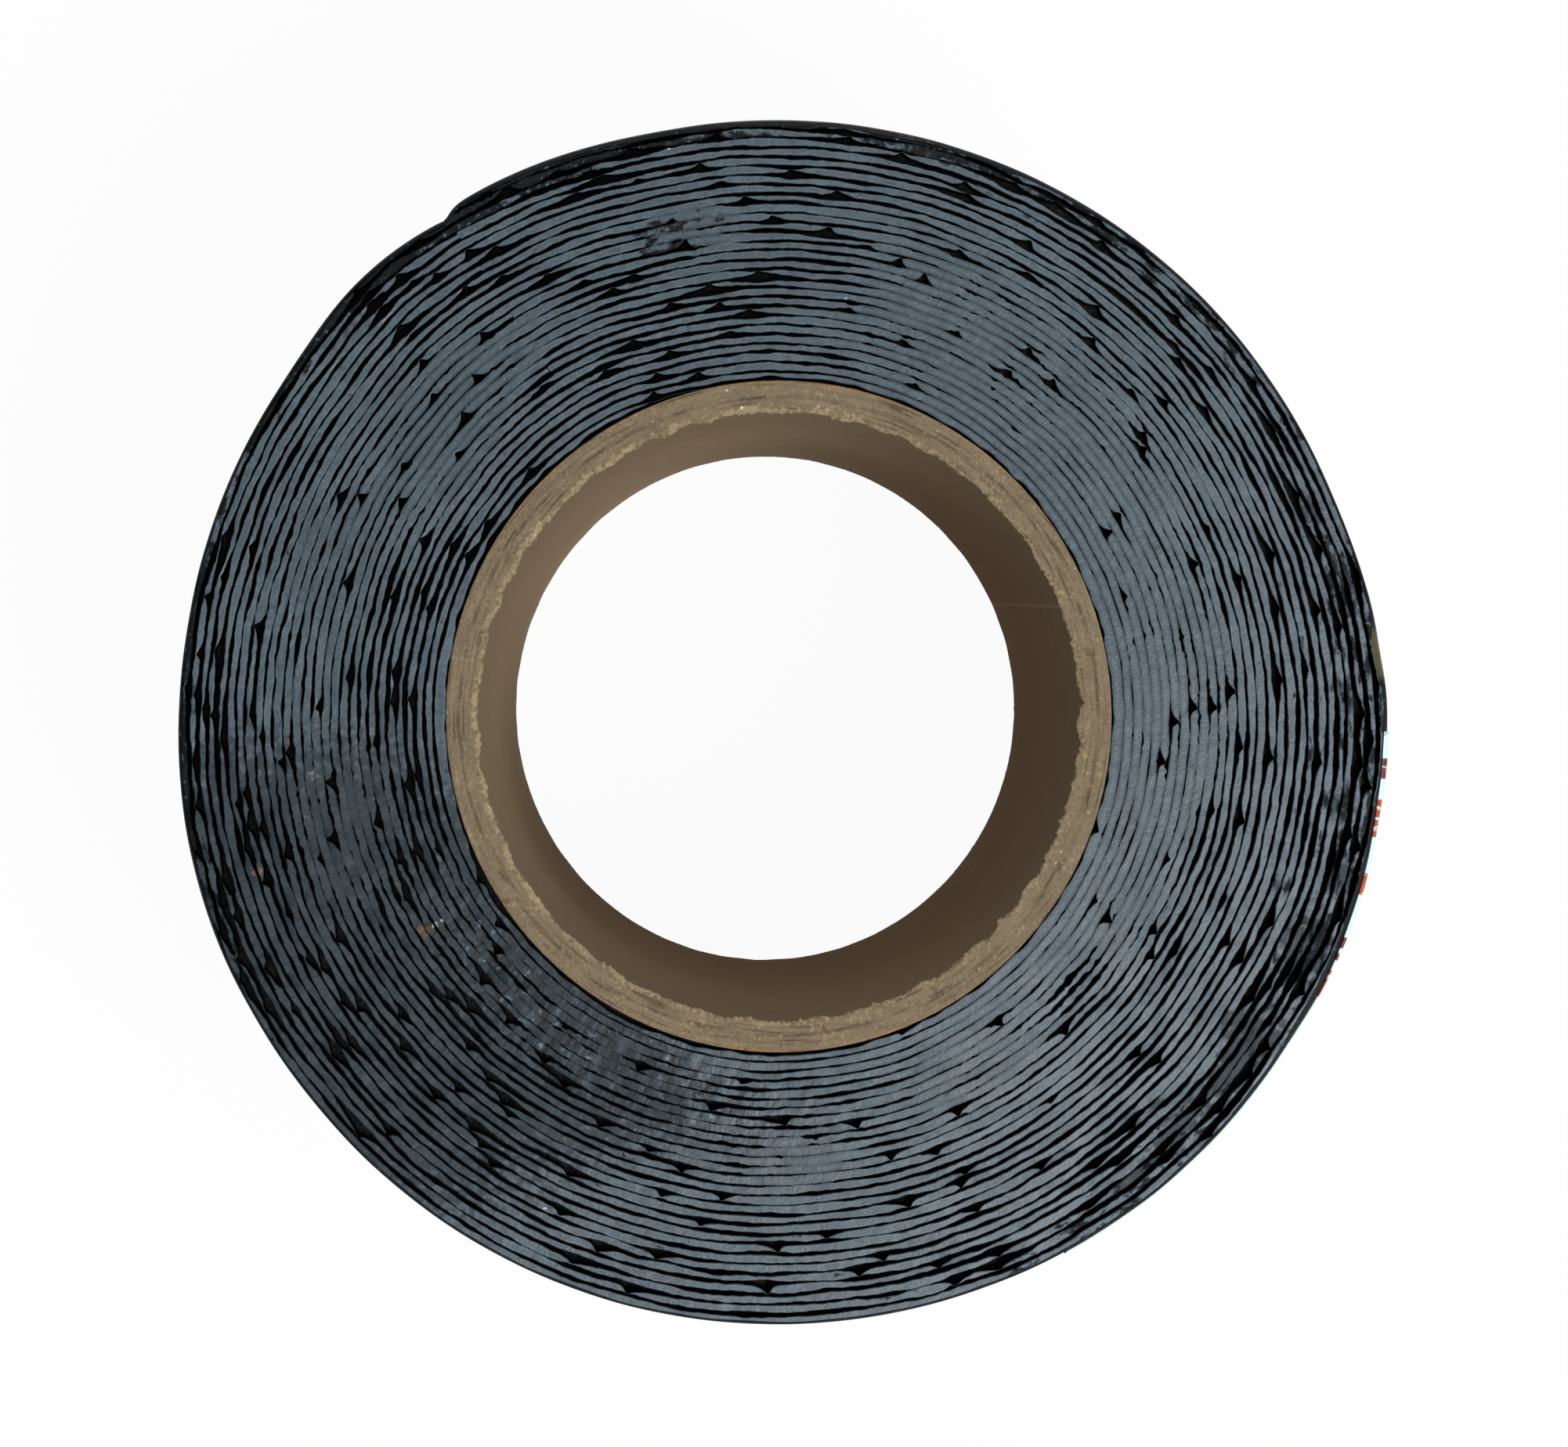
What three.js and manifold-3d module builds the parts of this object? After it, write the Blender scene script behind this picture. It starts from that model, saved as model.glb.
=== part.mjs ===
// A roll of self-adhesive bitumen roofing felt, the narrow kind sold for flashings and joints.
// One long strip of felt is wound on a cardboard tube, and a paper label is stuck round part of
// the outside. The roll stands on one end. Z is the axis of the tube, and Z = 0 is that end.

import * as THREE from "three";
import { mergeVertices } from "three/addons/utils/BufferGeometryUtils.js";
import Module from "manifold-3d";

const wasm = await Module();
wasm.setup();

// Driving dimensions, in millimetres and degrees. Angles run anticlockwise from +X.
const stripWidth = 100;
const stripPitch = 1.17; // one turn of felt with its release film
const turns = 28;
const turnGap = 0.26; // open line between two turns on a cut end
const turnGapDepth = 1.1;
const rimRadius = 1; // the outermost turn is rounded over at both ends
const stripEndAngle = 124; // the strip starts and ends on this ray
const stuckLength = 3; // the strip's outer end is pressed down, so the last line stops short of it
const climbAngle = 26; // each turn climbs one pitch over this arc, up to that ray

const coreBoreRadius = 38.1; // a three inch tube
const coreWall = 4;
const coreEdgeChamfer = 0.5;
const coreClearance = 0.2; // between the tube and the first turn

const labelStartAngle = -62;
const labelEndAngle = -1.4;
const labelThickness = 0.2;
const labelClearance = 0.15;
const labelMargin = 1; // bare felt above and below the label

// Where handling has pushed the outer turns out of round: the middle of each swelling, the arc on
// either side over which it dies away, and how far the outermost turn stands out there.
const swellings = [
  { angle: 265, reach: 100, height: 1.58 },
  { angle: 195, reach: 27, height: 0.5 },
  { angle: 133, reach: 14, height: 0.9 },
  { angle: -1, reach: 25, height: 1.2 },
  { angle: -21, reach: 14, height: 0.75 },
  { angle: -26, reach: 65, height: 0.8 },
];

// How finely the round forms are faceted, and how far a cutter passes a face that it cuts.
const turnSegments = 32;
const outlineSegments = 64;
const coreSegments = 64;
const rimSegments = 2;
const overcut = 0.4;

const coreRadius = coreBoreRadius + coreWall;
const feltBoreRadius = coreRadius + coreClearance;
const climbShare = climbAngle / 360;

const felt = new THREE.MeshStandardMaterial({ color: 0x4d565d, roughness: 0.55, metalness: 0 });
const cardboard = new THREE.MeshStandardMaterial({ color: 0x7d6c54, roughness: 0.9, metalness: 0 });
const paper = new THREE.MeshStandardMaterial({ color: 0xd3ebe4, roughness: 0.7, metalness: 0 });

// The place of one turn, counted in turns from the inner end of the strip. Each turn keeps its
// radius until it has to climb over the start of the strip, and then rises by one pitch.
function turnAngle(turn) {
  return THREE.MathUtils.degToRad(stripEndAngle) + 2 * Math.PI * turn;
}

function swellAt(angle) {
  let height = 0;
  for (const swelling of swellings) {
    const away = THREE.MathUtils.radToDeg(angle) - swelling.angle;
    const nearest = Math.abs(THREE.MathUtils.euclideanModulo(away + 180, 360) - 180);
    const share = Math.min(nearest / swelling.reach, 1);
    height += (swelling.height * (1 + Math.cos(Math.PI * share))) / 2;
  }
  return height;
}

function turnRadius(turn) {
  const whole = Math.floor(turn);
  const climbed = THREE.MathUtils.smoothstep(turn - whole, 1 - climbShare, 1);
  const outOfRound = swellAt(turnAngle(turn)) * (turn / turns) ** 2;
  return feltBoreRadius + stripPitch * (whole + climbed) + outOfRound;
}

// The line between two turns, from the first climb to the end of the strip, on one of the two ends.
class TurnLine extends THREE.Curve {
  constructor(faceZ) {
    super();
    this.faceZ = faceZ;
  }

  getPoint(share, target = new THREE.Vector3()) {
    const lastTurn = turns - stuckLength / (2 * Math.PI * turnRadius(turns));
    const turn = THREE.MathUtils.lerp(1, lastTurn, share);
    const radius = turnRadius(turn);
    const angle = turnAngle(turn);
    return target.set(radius * Math.cos(angle), radius * Math.sin(angle), this.faceZ);
  }

  // Equal steps of angle, not of length, so that the facets of all turns line up.
  getUtoTmapping(share) {
    return share;
  }
}

// The roll seen along its axis: the outer face of the last turn, closed by the strip's end.
function rollOutline() {
  const outline = new THREE.Shape();
  for (let step = 0; step <= outlineSegments; step++) {
    const share = step / outlineSegments;
    const radius = share < 1 ? turnRadius(turns + share) : turnRadius(turns) + stripPitch;
    const angle = turnAngle(share);
    if (step === 0) outline.moveTo(radius * Math.cos(angle), radius * Math.sin(angle));
    else outline.lineTo(radius * Math.cos(angle), radius * Math.sin(angle));
  }
  return outline;
}

// A plain roll with rounded rims, grown by an even amount all over.
function rollBlank(growth) {
  const fillet = rimRadius + growth;
  const blank = new THREE.ExtrudeGeometry(rollOutline(), {
    depth: stripWidth - 2 * rimRadius,
    bevelThickness: fillet,
    bevelSize: fillet,
    bevelOffset: -rimRadius,
    bevelSegments: rimSegments,
  });
  return blank.translate(0, 0, rimRadius);
}

// A V-shaped cut whose mouth lies in the plane of the end, with straight sides above it.
function turnGapCutter(faceZ, inward) {
  const section = new THREE.Shape();
  section.moveTo(-inward * turnGapDepth, 0);
  section.lineTo(0, turnGap / 2);
  section.lineTo(inward * overcut, turnGap / 2);
  section.lineTo(inward * overcut, -turnGap / 2);
  section.lineTo(0, -turnGap / 2);
  return new THREE.ExtrudeGeometry(section, {
    steps: turnSegments * (turns - 1),
    extrudePath: new TurnLine(faceZ),
  });
}

function boreCutter() {
  const length = stripWidth + 2 * overcut;
  const cutter = new THREE.CylinderGeometry(feltBoreRadius, feltBoreRadius, length, coreSegments);
  return cutter.rotateX(Math.PI / 2).translate(0, 0, stripWidth / 2);
}

function solidOf(geometry) {
  const bare = geometry.clone().deleteAttribute("normal").deleteAttribute("uv");
  const merged = mergeVertices(bare, 1e-4);
  return new wasm.Manifold(
    new wasm.Mesh({
      numProp: 3,
      vertProperties: new Float32Array(merged.attributes.position.array),
      triVerts: new Uint32Array(merged.index.array),
    }),
  );
}

function geometryOf(solid) {
  const mesh = solid.getMesh();
  const geometry = new THREE.BufferGeometry();
  geometry.setAttribute("position", new THREE.BufferAttribute(mesh.vertProperties, 3));
  geometry.setIndex(new THREE.BufferAttribute(mesh.triVerts, 1));
  const faceted = geometry.toNonIndexed();
  faceted.computeVertexNormals();
  return faceted;
}

function namedMesh(name, geometry, material) {
  const mesh = new THREE.Mesh(geometry, material);
  mesh.name = name;
  return mesh;
}

// The tube is cut to the width of the roll, and its edges are slightly broken.
function coreTube() {
  const chamfer = coreEdgeChamfer;
  const profile = [
    [coreBoreRadius, chamfer],
    [coreBoreRadius + chamfer, 0],
    [coreRadius, 0],
    [coreRadius, stripWidth],
    [coreBoreRadius + chamfer, stripWidth],
    [coreBoreRadius, stripWidth - chamfer],
    [coreBoreRadius, chamfer],
  ].map(([radius, height]) => new THREE.Vector2(radius, height));
  const tube = new THREE.LatheGeometry(profile, coreSegments);
  return namedMesh("core_tube", tube.rotateX(Math.PI / 2), cardboard);
}

function feltRoll() {
  const wound = solidOf(rollBlank(0))
    .subtract(solidOf(boreCutter()))
    .subtract(solidOf(turnGapCutter(stripWidth, -1)))
    .subtract(solidOf(turnGapCutter(0, 1)));
  return namedMesh("felt_roll", geometryOf(wound), felt);
}

// The label follows the outer turn and runs up on to both rounded rims.
function label() {
  const reach = 2 * turnRadius(turns + 1);
  const start = THREE.MathUtils.degToRad(labelStartAngle);
  const end = THREE.MathUtils.degToRad(labelEndAngle);
  const sector = new THREE.Shape();
  sector.moveTo(0, 0);
  sector.lineTo(reach * Math.cos(start), reach * Math.sin(start));
  sector.lineTo(reach * Math.cos(end), reach * Math.sin(end));
  const span = new THREE.ExtrudeGeometry(sector, {
    depth: stripWidth - 2 * labelMargin,
    bevelEnabled: false,
  });
  const sheet = solidOf(rollBlank(labelClearance + labelThickness))
    .subtract(solidOf(rollBlank(labelClearance)))
    .intersect(solidOf(span.translate(0, 0, labelMargin)));
  return namedMesh("label", geometryOf(sheet), paper);
}

const roll = new THREE.Group();
roll.add(coreTube(), feltRoll(), label());

export default roll;
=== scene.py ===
import math

import bmesh
import bpy
import numpy as np
from mathutils import Matrix, Vector


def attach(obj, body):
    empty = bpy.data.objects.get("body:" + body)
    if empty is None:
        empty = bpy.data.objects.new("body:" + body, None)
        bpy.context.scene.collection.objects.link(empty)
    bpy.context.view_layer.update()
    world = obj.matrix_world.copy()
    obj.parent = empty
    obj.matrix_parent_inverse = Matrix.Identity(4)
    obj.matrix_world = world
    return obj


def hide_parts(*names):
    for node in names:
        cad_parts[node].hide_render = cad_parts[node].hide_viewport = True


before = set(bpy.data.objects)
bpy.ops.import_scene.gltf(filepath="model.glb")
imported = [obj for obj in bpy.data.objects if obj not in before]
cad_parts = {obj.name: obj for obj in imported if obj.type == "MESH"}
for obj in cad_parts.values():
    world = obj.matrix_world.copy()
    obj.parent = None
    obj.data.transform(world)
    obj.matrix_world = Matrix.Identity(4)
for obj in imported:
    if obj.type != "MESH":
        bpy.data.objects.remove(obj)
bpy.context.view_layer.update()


# The camera. It looks down on the upper cut end from about half a metre, slightly off the axis of
# the core, so that the whole wall of the bore shows.
lens_place = Vector((-0.00998, 0.00607, 0.5678))
looked_at = Vector((0.000576, -0.000832, 0.100))
camera = bpy.data.objects.new("camera", bpy.data.cameras.new("camera"))
camera.data.lens = 85.45
bpy.context.scene.collection.objects.link(camera)
backward = (lens_place - looked_at).normalized()
rightward = Vector((0, 1, 0)).cross(backward).normalized()
turned = Matrix((rightward, backward.cross(rightward), backward)).transposed()
camera.matrix_world = Matrix.Translation(lens_place) @ turned.to_4x4()
bpy.context.scene.camera = camera
bpy.context.scene.view_settings.view_transform = "Standard"


# The core: a tube wound from brown paper in glued plies and sawn to length with the felt. The saw
# has torn the innermost plies, which leaves a pale ragged lip round both mouths of the bore.
mm = 0.001  # sizes are in millimetres; the materials, the camera and the lamps count in metres
roll_width = 100
bore_radius = 38.1
core_radius = 42.1
core_squash = 0.2  # the tube is slightly wider along Y than along X
core_columns = 1500

# Across the torn lip: the share of its width, the share of its drop, and how torn the paper is.
lip_profile = ((0, 1, 0.75), (0.12, 0.72, 1), (0.35, 0.5, 1), (0.62, 0.28, 1), (1, 0.06, 0.7))


class Wire:
    """A socket in a material. Sums on it add Math nodes, and node() adds any other kind."""

    def __init__(self, tree, socket=None):
        self.tree = tree
        self.socket = socket

    def node(self, kind, settings, inputs, output=0):
        made = self.tree.nodes.new("ShaderNode" + kind)
        for name, value in settings.items():
            setattr(made, name, value)
        for name, value in inputs.items():
            if isinstance(value, Wire):
                self.tree.links.new(value.socket, made.inputs[name])
            else:
                made.inputs[name].default_value = value
        return Wire(self.tree, made.outputs[output] if made.outputs else None)

    def maths(self, operation, *values):
        return self.node("Math", {"operation": operation}, dict(enumerate(values)))

    def __add__(self, other):
        return self.maths("ADD", self, other)

    def __radd__(self, other):
        return self.maths("ADD", other, self)

    def __sub__(self, other):
        return self.maths("SUBTRACT", self, other)

    def __rsub__(self, other):
        return self.maths("SUBTRACT", other, self)

    def __mul__(self, other):
        return self.maths("MULTIPLY", self, other)

    def __rmul__(self, other):
        return self.maths("MULTIPLY", other, self)

    def larger(self, other):
        return self.maths("MAXIMUM", self, other)

    def step(self, low, high):
        """0 below low, 1 above high and smooth between them; high may be the lower one."""
        return self.node(
            "MapRange",
            {"interpolation_type": "SMOOTHSTEP"},
            {"Value": self, "From Min": low, "From Max": high},
        )

    def inside(self, low, low_full, high_full, high):
        """1 between the two middle values, 0 below low and above high, and smooth between."""
        return self.step(low, low_full) * self.step(high, high_full)

    def axis(self, index):
        """X, Y or Z of this vector."""
        return self.node("SeparateXYZ", {}, {"Vector": self}, index)

    def vector(self, x, y, z=0.0):
        return self.node("CombineXYZ", {}, {0: x, 1: y, 2: z})

    def stretched(self, x, y, z):
        return self.node("VectorMath", {"operation": "MULTIPLY"}, {0: self, 1: (x, y, z)})

    def off_axis(self):
        """How far this place lies from the axis of the core."""
        return self.node("VectorMath", {"operation": "LENGTH"}, {0: self.stretched(1, 1, 0)}, 1)

    def noise(self, scale, detail=3, roughness=0.5):
        """Noise over this vector, with the given number of grains in a metre."""
        inputs = {"Vector": self, "Scale": scale, "Detail": detail, "Roughness": roughness}
        return self.node("TexNoise", {}, inputs)

    def note(self, name):
        """A grid of numbers that skin() was given, by its name."""
        return self.node("Attribute", {"attribute_name": name}, {}, "Fac")

    def between(self, first, second):
        """The first colour where this is 0 and the second where it is 1."""
        return self.node("Mix", {"data_type": "RGBA"}, {0: self, 6: first, 7: second}, 2)

    def blended(self, other, share):
        """This colour, with the given share of another."""
        return share.between(self, other)

    def darkened(self, level):
        """This colour times a grey level."""
        grey = self.node("CombineColor", {}, {0: level, 1: level, 2: level})
        settings = {"data_type": "RGBA", "blend_type": "MULTIPLY"}
        return self.node("Mix", settings, {0: 1.0, 6: self, 7: grey}, 2)


def srgb(red, green, blue):
    """A colour as a screen shows it, from 0 to 255, for a node."""
    shares = [level / 255 for level in (red, green, blue)]
    linear = [share / 12.92 if share < 0.04045 else ((share + 0.055) / 1.055) ** 2.4
              for share in shares]
    return (*linear, 1)


def material_wires(name):
    """A new material, a wire to start its nodes from, and the place on the piece in metres."""
    material = bpy.data.materials.new(name)
    material.use_nodes = True
    material.node_tree.nodes.clear()
    start = Wire(material.node_tree)
    return material, start, start.node("TexCoord", {}, {}, "Object")


def finish(start, colour, roughness, relief, relief_depth=0.12 * mm, specular=0.5, black=None):
    """Ends a material. The relief times its depth is how far the surface stands out, and black is
    the share of the surface that is matt black, as in a gap."""
    normal = start.node("Bump", {}, {"Height": relief, "Strength": 1.0, "Distance": relief_depth})
    shader = start.node("BsdfPrincipled", {}, {
        "Base Color": colour, "Roughness": roughness, "Normal": normal,
        "Specular IOR Level": specular})
    if black is not None:
        matt = start.node("BsdfPrincipled", {}, {
            "Base Color": srgb(6, 8, 10), "Roughness": 0.45, "Normal": normal,
            "Specular IOR Level": 0.1})
        shader = start.node("MixShader", {}, {0: black, 1: shader, 2: matt})
    start.node("OutputMaterial", {}, {"Surface": shader})


def spotted(face, place, ragged, spots):
    """A colour with small bits on the upper end: X, Y and reach in millimetres, and a colour."""
    for x, y, reach, shade in spots:
        centre = (x * mm, y * mm, roll_width * mm)
        away = place.node("VectorMath", {"operation": "DISTANCE"}, {0: place, 1: centre}, 1)
        share = (away * (1 / mm) + ragged).step(reach, reach - 0.2)
        face = face.blended(srgb(*shade), share)
    return face


def skin(name, radius, angle, height, material, sharp=50, **notes):
    """A closed mesh from grids of radius, angle and height, in millimetres and radians.

    Rows run along the section and columns round the roll. Edges of the grid that lie on each
    other are joined. Each note is a grid of numbers that the material reads by its name. The
    angle may be a single row, and a note a single row or column.
    """
    rows, columns = radius.shape
    grid = bmesh.new()
    bmesh.ops.create_grid(grid, x_segments=columns - 1, y_segments=rows - 1, size=0.5)
    mesh = bpy.data.meshes.new(name)
    grid.to_mesh(mesh)
    grid.free()
    flat = np.empty(3 * len(mesh.vertices), np.float32)
    mesh.vertices.foreach_get("co", flat)
    flat = flat.reshape(-1, 3)
    column = np.rint((flat[:, 0] + 0.5) * (columns - 1)).astype(int)
    row = np.rint((flat[:, 1] + 0.5) * (rows - 1)).astype(int)

    def on_vertices(values):
        return np.broadcast_to(values, (rows, columns))[row, column]

    radius, angle, height = on_vertices(radius), on_vertices(angle), on_vertices(height)
    placed = np.stack([radius * np.cos(angle), radius * np.sin(angle), height], axis=1) * mm
    mesh.vertices.foreach_set("co", placed.astype(np.float32).ravel())
    for note, values in notes.items():
        attribute = mesh.attributes.new(note, "FLOAT", "POINT")
        attribute.data.foreach_set("value", on_vertices(values).astype(np.float32))
    joined = bmesh.new()
    joined.from_mesh(mesh)
    bmesh.ops.remove_doubles(joined, verts=joined.verts, dist=2e-7)
    bmesh.ops.recalc_face_normals(joined, faces=joined.faces)
    joined.to_mesh(mesh)
    joined.free()
    mesh.shade_smooth()
    mesh.set_sharp_from_angle(angle=math.radians(sharp))
    mesh.materials.append(material)
    piece = bpy.data.objects.new(name, mesh)
    bpy.context.scene.collection.objects.link(piece)
    return piece


def stacked(rings, index):
    """One value of each ring as a grid, in which a single number holds all round."""
    columns = rings[0][0].size
    return np.stack([np.broadcast_to(ring[index], columns) for ring in rings])


def even_steps(low, high, share):
    """Smooth step of an array between two limits; high may be the lower one."""
    part = np.clip((share - low) / (high - low), 0, 1)
    return part * part * (3 - 2 * part)


def waver(along, spacing, seed):
    """Smooth noise from -1 to 1 over an array of lengths, with a new value every spacing."""
    place = np.asarray(along) / spacing
    place = place - place.min()
    knots = np.random.default_rng(seed).uniform(-1, 1, int(place.max()) + 3)
    whole = place.astype(int)
    share = even_steps(0, 1, place - whole)
    return knots[whole] * (1 - share) + knots[whole + 1] * share


def ring_waver(angle, waves, seed):
    """Smooth noise from about -1 to 1 round a closed ring, with about the given waves in a turn."""
    random = np.random.default_rng(seed)
    total = np.zeros_like(angle)
    for _ in range(9):
        count = int(waves * random.uniform(0.6, 1.6)) + 1
        total += np.cos(count * angle + random.uniform(0, 2 * np.pi))
    return total / 3


def frayed(angle, size, random):
    """Chance from -size to size at each column round a closed ring."""
    fray = random.uniform(-size, size, angle.shape)
    fray[-1] = fray[0]
    return fray


def torn_edge(angle, seed):
    """How far the paper's edge stands into the bore, in millimetres."""
    steps = np.round(1.6 * ring_waver(angle, 34, seed)) * 0.12
    fray = 0.06 * ring_waver(angle, 150, seed + 1) + 0.03 * ring_waver(angle, 420, seed + 2)
    random = np.random.default_rng(seed + 3)
    burrs = np.zeros_like(angle)
    for _ in range(18):
        away = (angle - random.uniform(0, 2 * np.pi) + np.pi) % (2 * np.pi) - np.pi
        reach = random.uniform(0.006, 0.016)
        burrs += random.uniform(0.15, 0.5) * np.clip(1 - np.abs(away) / reach, 0, 1)
    return steps + fray + burrs


def core_end(angle, seed, ragged):
    """The rings of one end, from the bore wall to the outer wall: radius, depth below the cut,
    how torn the paper is, and whether the ring belongs to the cut."""
    random = np.random.default_rng(seed)
    edge = bore_radius + 0.06 - (0.12 + torn_edge(angle, seed)) * ragged
    lip = 0.5 + 0.18 * ring_waver(angle, 26, seed + 5) + 0.17 * np.cos(angle - 2.7)
    lip = np.maximum(lip, 0.15)
    drop = np.maximum(0.42 + 0.16 * ring_waver(angle, 46, seed + 6), 0.12)
    rings = [(bore_radius + 0.02 * ring_waver(angle, 7, seed + 7), 3, 0, 0),
             (bore_radius + 0.06, drop + 0.9, 0.1, 0)]
    for share, low, torn in lip_profile:
        rings.append((edge + share * lip, (drop + frayed(angle, 0.07, random)) * low, torn, 1))
    inner = edge + lip
    outer = core_radius - 0.12
    for share in np.linspace(0.1, 1, 16):
        plies = 0.034 * np.cos(2 * np.pi * 5.2 * share + 0.8 * ring_waver(angle, 5, seed + 8))
        depth = 0.05 + plies + frayed(angle, 0.014, random)
        rings.append((inner + share * (outer - inner), depth, 0.25 * (1 - share), 1))
    rough = 0.05 * ring_waver(angle, 90, seed + 9)
    rings.append((core_radius - 0.02 + rough * 0.4, 0.22 + rough, 0, 1))
    rings.append((core_radius, 1.2, 0, 1))
    return rings


def core_material():
    material, start, place = material_wires("cardboard")
    east, north, height = place.axis(0), place.axis(1), place.axis(2)
    across = place.off_axis()
    torn, cut = start.note("torn"), start.note("cut")
    clouds = place.noise(240, 4, 0.55)
    speckle = place.noise(1300, 3, 0.6)
    fibres = place.noise(2600, 4, 0.62)

    # The cut end: plies side by side, with the torn lip paler and a groove near the outside, which
    # is only painted in, as a darker ring of painted shade.
    winding = start.vector(across * 3.2 + place.noise(90, 2) * 0.0006, east * 0.16, north * 0.16)
    ply_lines = winding.noise(1000, 1, 0.4)
    face = ply_lines.step(0.36, 0.64).between(srgb(117, 103, 81), srgb(127, 112, 90))
    face = face.blended(srgb(72, 58, 42), ply_lines.step(0.36, 0.29) * 0.6)
    # A darker ring near the outside: painted shade of a groove.
    groove_shade = across.inside(0.0398, 0.04005, 0.0402, 0.0405) * place.noise(260).step(0.35, 0.65)
    face = face.blended(srgb(74, 60, 46), groove_shade * 0.7)
    pale = (torn * 0.75 + (clouds - 0.5) * 1.6 + (speckle - 0.5) * 2.2).step(0.35, 0.9)
    face = face.blended(srgb(146, 130, 102), pale)
    pink = across.step(0.0418, 0.04215) * place.noise(90).step(0.35, 0.65)
    face = face.blended(srgb(166, 116, 84), pink * 0.6)
    face = face.blended(srgb(205, 194, 168), fibres.step(0.64, 0.74) * 0.55)
    face = face.blended(srgb(60, 46, 34), fibres.step(0.38, 0.3) * 0.5)
    face = face.blended(srgb(86, 62, 40), place.noise(420, 2).step(0.68, 0.75) * 0.5)
    grit = place.noise(2600, 2, 0.7)
    face = face.darkened(0.32 + 0.36 * clouds + 0.5 * speckle + 0.36 * grit)
    face = spotted(face, place, clouds * 0.8 - 0.4, [
        (-4.7, 38.8, 0.3, (214, 208, 194)), (-6.6, 41.0, 0.34, (206, 198, 182)),
        (34.8, -18.4, 0.3, (220, 214, 202)), (35.5, -17.0, 0.26, (206, 198, 184)),
        (38.5, -4.9, 0.45, (146, 122, 78)), (-18.3, -33.4, 0.4, (104, 76, 44))])

    # The joint between two windings of the innermost ply runs down the bore's wall.
    wall = clouds.between(srgb(148, 127, 99), srgb(160, 139, 110))
    slant = (height - roll_width * mm / 2) * 0.022
    off_joint = start.maths("ABSOLUTE", east * 0.3931 - north * 0.9195 - slant)
    joint = off_joint.step(0.0003, 0.0001) * east.step(0.0, 0.01)
    wall = wall.blended(srgb(186, 166, 138), joint * 0.7)
    grain = place.stretched(1, 1, 0.35).noise(1500, 3, 0.6)
    # The wall is painted darker towards the upper mouth, down to half its depth: painted shade
    # under the lip.
    wall = wall.darkened((0.86 + 0.28 * grain) * (0.7 + 0.3 * height.step(0.099, 0.05)))

    relief = (ply_lines * 0.3 + fibres * 1.2) * cut + grain * 0.25
    finish(start, wall.blended(face, cut), 0.93, relief, specular=0.2)
    return material


angle = np.linspace(0, 2 * np.pi, core_columns + 1)
bore_wall = [(bore_radius + 0.03 * ring_waver(angle, 5, 70 + i), roll_width * (i + 1) / 10, 0, 0)
             for i in range(9)]
upper_end = [(radius, roll_width - depth, torn, cut)
             for radius, depth, torn, cut in core_end(angle, 31, 1)]
lower_end = core_end(angle, 57, 0.1)
core_rings = bore_wall + upper_end + lower_end[::-1] + bore_wall[:1]
core = skin(
    "core_tube_sawn",
    stacked(core_rings, 0) - core_squash * np.cos(2 * angle),
    angle,
    stacked(core_rings, 1),
    core_material(),
    sharp=70,
    torn=stacked(core_rings, 2),
    cut=stacked(core_rings, 3),
)
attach(core, "root")
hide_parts("core_tube")


# The felt strip: 28 turns of soft bitumen, wound tight and cut with a knife. On a cut end each
# turn stands as a flat grey land between two black gaps, and it has creased every 4 cm or so.
felt_bore_radius = 42.3
strip_pitch = 1.17
turns = 28
strip_end_angle = 124
climb_share = 26 / 360  # each turn climbs one pitch over this share of it, up to the strip's end
outer_turn_length = 470
turn_depth = 3.2  # how far below the cut each turn is its own ridge

# Where handling has pushed the outer turns out: angle, how far it reaches in degrees, and height.
swellings = [
    (265, 100, 1.58), (195, 27, 0.5), (133, 14, 0.9), (-1, 25, 1.2), (-21, 14, 0.75),
    (-26, 65, 0.8),
]

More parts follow.
